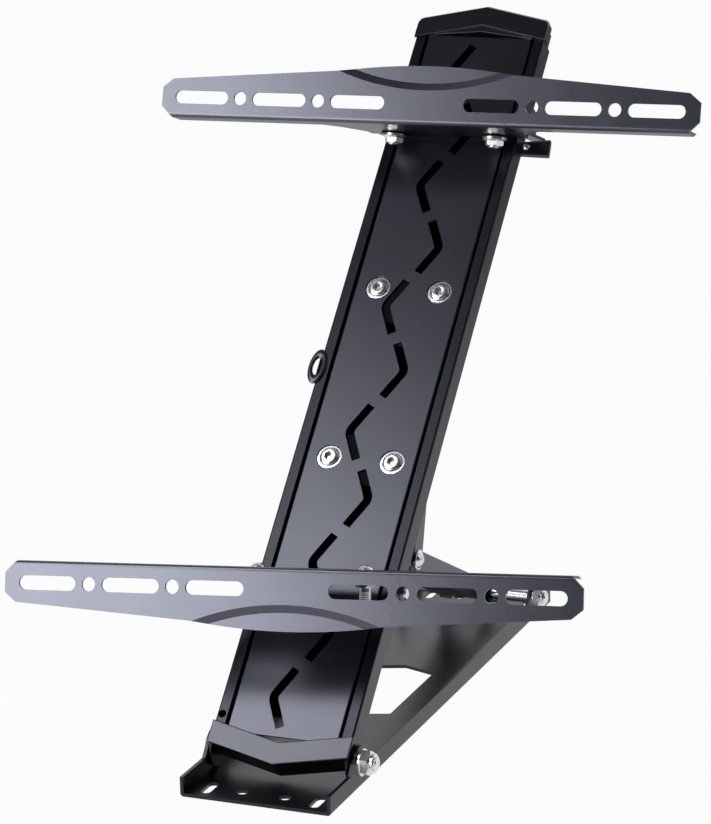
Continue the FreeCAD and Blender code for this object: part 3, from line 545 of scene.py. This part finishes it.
along_x = Matrix.Rotation(math.radians(90), 4, "Y")
hinge_nut_face = 79.4
hinge_thread = thread("hinge_thread", 6.0, 1.25, 2, hinge_nut_face, along_x)
seat(hinge_thread, hinge_frame, "base", plated_steel)

along_y = Matrix.Rotation(math.radians(90), 4, "X")
bolt_columns = (-47.5, 47.5)
bolt_depth = -62
bolt_thread_start = 0.5
bolt_thread = thread("bolt_threads", 5.0, 1.5, 6, bolt_thread_start, along_y)
copies_at(bolt_thread, [(column, 0, bolt_depth) for column in bolt_columns])
seat(bolt_thread, lower_frame, "lower_bar", plated_steel)

# %% [markdown]
# A rubber lip closes the gap between the back cover and the link bracket, so that no light shines up
# through the slots. It is a thin strip with a raised edge.

# %% Rubber lip
lip = block("rubber_lip", -40, 40, 387, 413, 1.6, 3.0)
pick(lip, "FACE", lambda centre, normal: normal.y > 0.9)
bpy.ops.mesh.extrude_region_move(TRANSFORM_OT_translate={"value": (0, 1.2 * mm, 1.2 * mm)})
bpy.ops.object.mode_set(mode="OBJECT")
soften(lip, 0.3 * mm)
seat(lip, spine_frame, "spine", bush_plastic)

# %% [markdown]
# The object was photographed on white with soft light from the left. The camera sees the floor and the
# world as white. In mirrors the floor is white too, and fades with distance from the part. To everything
# else the floor is a mid grey. The world is nearly dark in front of the part and bright behind it (+Y), so
# edges seen at a slant have something pale to mirror, and some light comes from behind.

# %% Floor
floor_reach = 12.0
bpy.ops.object.select_all(action="DESELECT")
bpy.ops.mesh.primitive_plane_add(size=floor_reach, location=(0, 0, 0))
floor = bpy.context.object
floor.name = "floor"
floor_gap = 0.0005
floor.location.z = cad_box[0][2] - floor_gap
paper = Finish("paper")
paper.set(Base_Color=(0.45, 0.45, 0.46, 1.0), Roughness=0.9)
from_middle = Level(paper, paper.node("ShaderNodeVectorMath", {"operation": "LENGTH"},
                                      {0: paper.place}).outputs["Value"])
fading = paper.node("ShaderNodeMapRange", sockets={"Value": from_middle, "From Min": 0.5, "From Max": 2.4,
                                                   "To Min": 0.80, "To Max": 0.05})
seen = paper.node("ShaderNodeLightPath")
glow = paper.node("ShaderNodeEmission", sockets={"Color": (1.0, 1.0, 1.0, 1.0), "Strength": 1.0})
blend = paper.node("ShaderNodeMixShader")
camera_share = Level(paper, seen.outputs["Is Camera Ray"])
mirror_share = Level(paper, seen.outputs["Is Glossy Ray"])
paper.feed(blend.inputs[0], camera_share * 0.96 + mirror_share * Level(paper, fading.outputs[0]))
paper.feed(blend.inputs[1], paper.shader.outputs[0])
paper.feed(blend.inputs[2], glow.outputs[0])
paper.feed(paper.tree.nodes["Material Output"].inputs["Surface"], blend.outputs[0])
floor.data.materials.append(paper.material)
print("floor at", round(floor.location.z, 4))

# %% World
world = bpy.data.worlds.new("studio")
bpy.context.scene.world = world
world.use_nodes = True
tree = world.node_tree
ground = tree.nodes["Background"]
look = tree.nodes.new("ShaderNodeTexCoord")
split = tree.nodes.new("ShaderNodeSeparateXYZ")
tree.links.new(look.outputs["Generated"], split.inputs[0])
ramp = tree.nodes.new("ShaderNodeMapRange")
tree.links.new(split.outputs["Y"], ramp.inputs["Value"])
for socket, value in (("From Min", 0.0), ("From Max", 0.9), ("To Min", 0.01), ("To Max", 1.0)):
    ramp.inputs[socket].default_value = value
path = tree.nodes.new("ShaderNodeLightPath")
seen_white = tree.nodes.new("ShaderNodeMath")
seen_white.operation = "MAXIMUM"
tree.links.new(ramp.outputs[0], seen_white.inputs[0])
tree.links.new(path.outputs["Is Camera Ray"], seen_white.inputs[1])
tree.links.new(seen_white.outputs[0], ground.inputs["Strength"])
ground.inputs["Color"].default_value = (1.0, 1.0, 1.0, 1.0)
print("world ready")

# %% [markdown]
# One large leaning softbox stands close on the left: its mirror image covers the left half of each bar and
# fades to the right, which is what makes the bars pale at one end and dark at the other. A second one, as
# bright, hangs high on the left and lights what faces up. A weak one on the right lifts the edges there.

# %% Lamps
def softbox(name, place, aim, width, height, radiance, lean=0.0):
    """Area lamp of a given brightness per area, turned to face a point."""
    lamp = bpy.data.lights.new(name, "AREA")
    lamp.shape = "RECTANGLE"
    lamp.size, lamp.size_y = width, height
    lamp.energy = radiance * math.pi * width * height
    holder = bpy.data.objects.new(name, lamp)
    bpy.context.scene.collection.objects.link(holder)
    holder.location = place
    facing = (Vector(aim) - Vector(place)).to_track_quat("-Z", "Y")
    holder.rotation_euler = (facing @ Quaternion((0, 0, 1), math.radians(lean))).to_euler()
    holder.visible_camera = False
    return holder


middle = Vector((0.0, 0.20, 0.30))
softbox("key", (-0.86, -0.98, 0.70), (-0.14, 0.10, 0.45), 0.8, 1.3, 6.0, lean=36)
softbox("top", (-0.85, -0.78, 1.90), (0.0, 0.0, 0.1), 0.8, 0.7, 5.8)
softbox("rim", (1.6, 0.6, 1.0), middle, 0.5, 1.2, 1.0)

# %% [markdown]
# The camera stands where the photograph was taken: the place and turn were found by matching the holes of
# the bars, the screws and the corners of the base with their places in the picture. The lens is long, so
# the picture is almost without perspective.

# %% Camera
picture_height = 824
focal_pixels = 3343.8
camera_place = Vector((1.0338, -2.3740, 1.0394))
camera_right = Vector((0.9285, 0.3707, -0.0217))
camera_back = Vector((0.3625, -0.8920, 0.2701))
camera_up = camera_back.cross(camera_right).normalized()
camera_right = camera_up.cross(camera_back).normalized()
lens = bpy.data.cameras.new("camera")
lens.sensor_fit = "VERTICAL"
lens.sensor_height = 24.0
lens.lens = focal_pixels / picture_height * lens.sensor_height
turn = Matrix((camera_right, camera_up, camera_back.normalized())).transposed()
camera = bpy.data.objects.new("camera", lens)
camera.matrix_world = Matrix.Translation(camera_place) @ turn.to_4x4()
bpy.context.scene.collection.objects.link(camera)
bpy.context.scene.camera = camera
bpy.context.scene.view_settings.view_transform = "Standard"
print("lens", round(lens.lens, 2), "mm on a", lens.sensor_height, "mm high sensor")

# %% Finish
bpy.context.view_layer.update()
